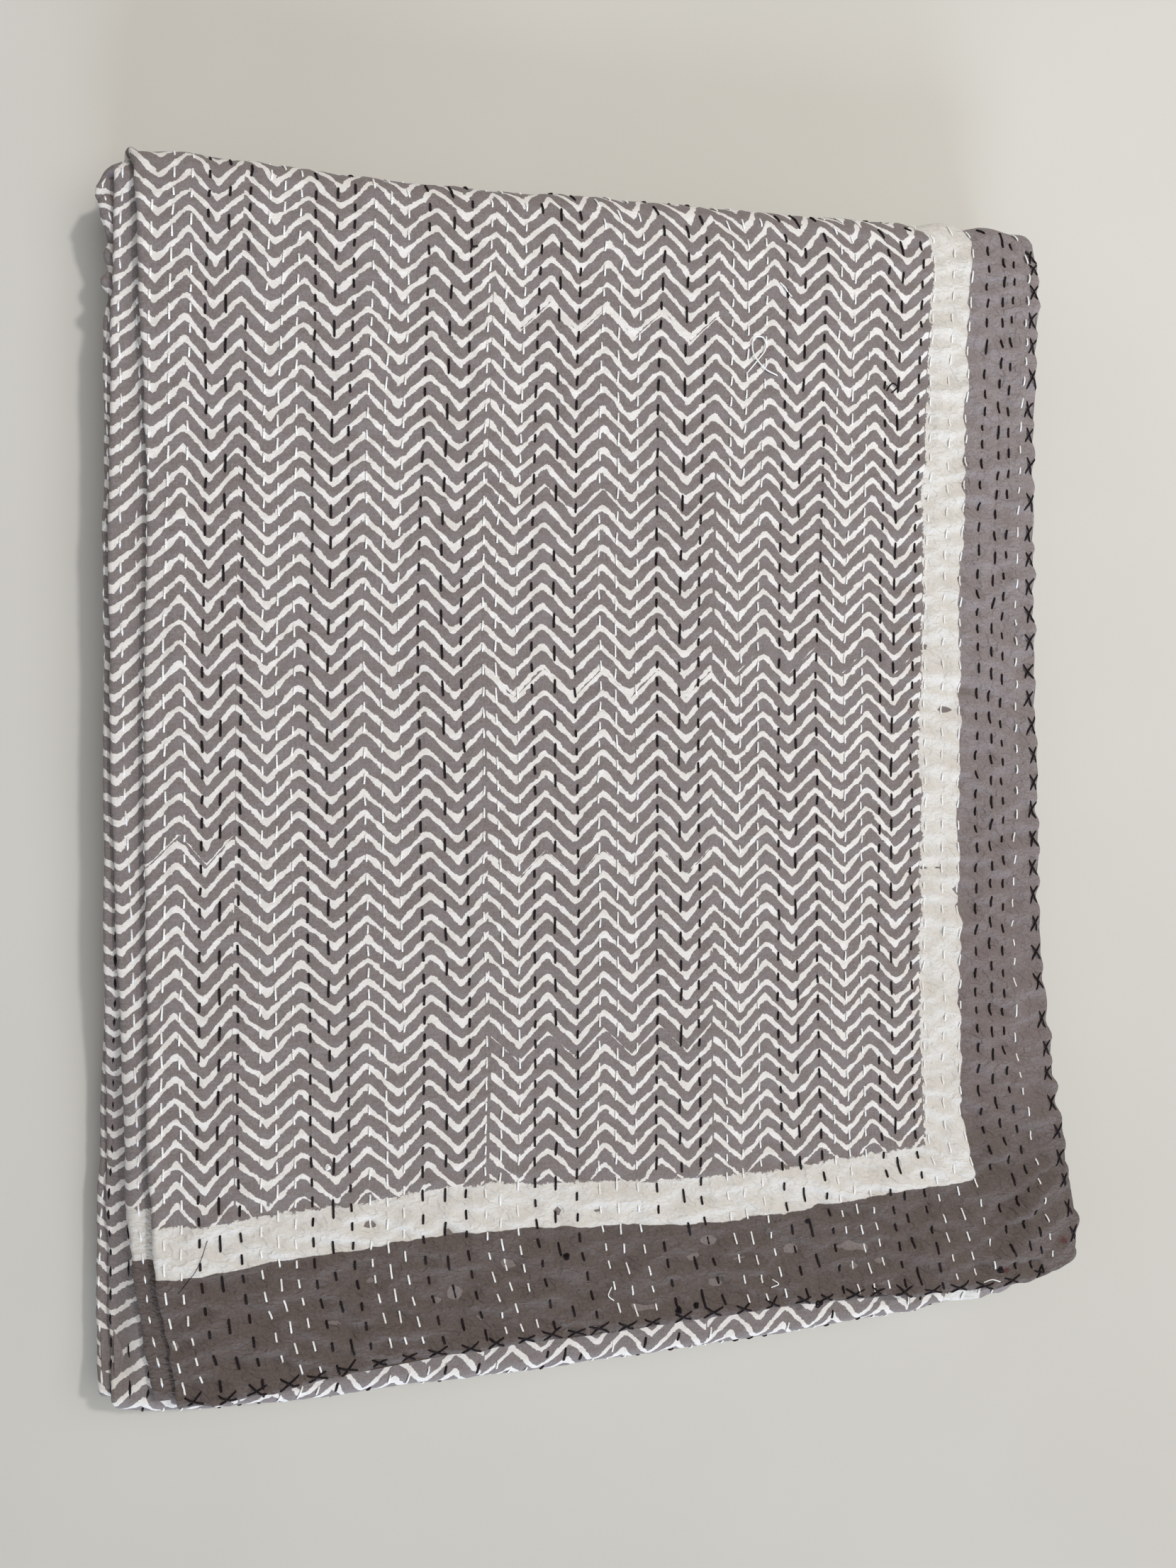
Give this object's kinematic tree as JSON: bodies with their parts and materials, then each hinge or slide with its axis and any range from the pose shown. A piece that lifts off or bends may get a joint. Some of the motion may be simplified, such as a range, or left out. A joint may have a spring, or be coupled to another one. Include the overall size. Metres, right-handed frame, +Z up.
{
  "type": "folded kantha quilt",
  "caption": "Thin quilted cotton bed cover with a zigzag block print, cream band and plain border, folded in four both ways into a flat layered packet",
  "frame": {"origin": "middle of the folded packet's box, on the flat surface it lies on", "axes": "+X is the side where the cloth's side hems lie, +Y is the end where the top run of cloth turns under, +Z is up off the surface"},
  "size_m": [0.5594, 0.6416, 0.0475],
  "materials": {
    "printed_cotton": "matt printed cotton, hand quilted"
  },
  "bodies": {
    "root": {"quilt": "printed_cotton"}
  },
  "joints": []
}
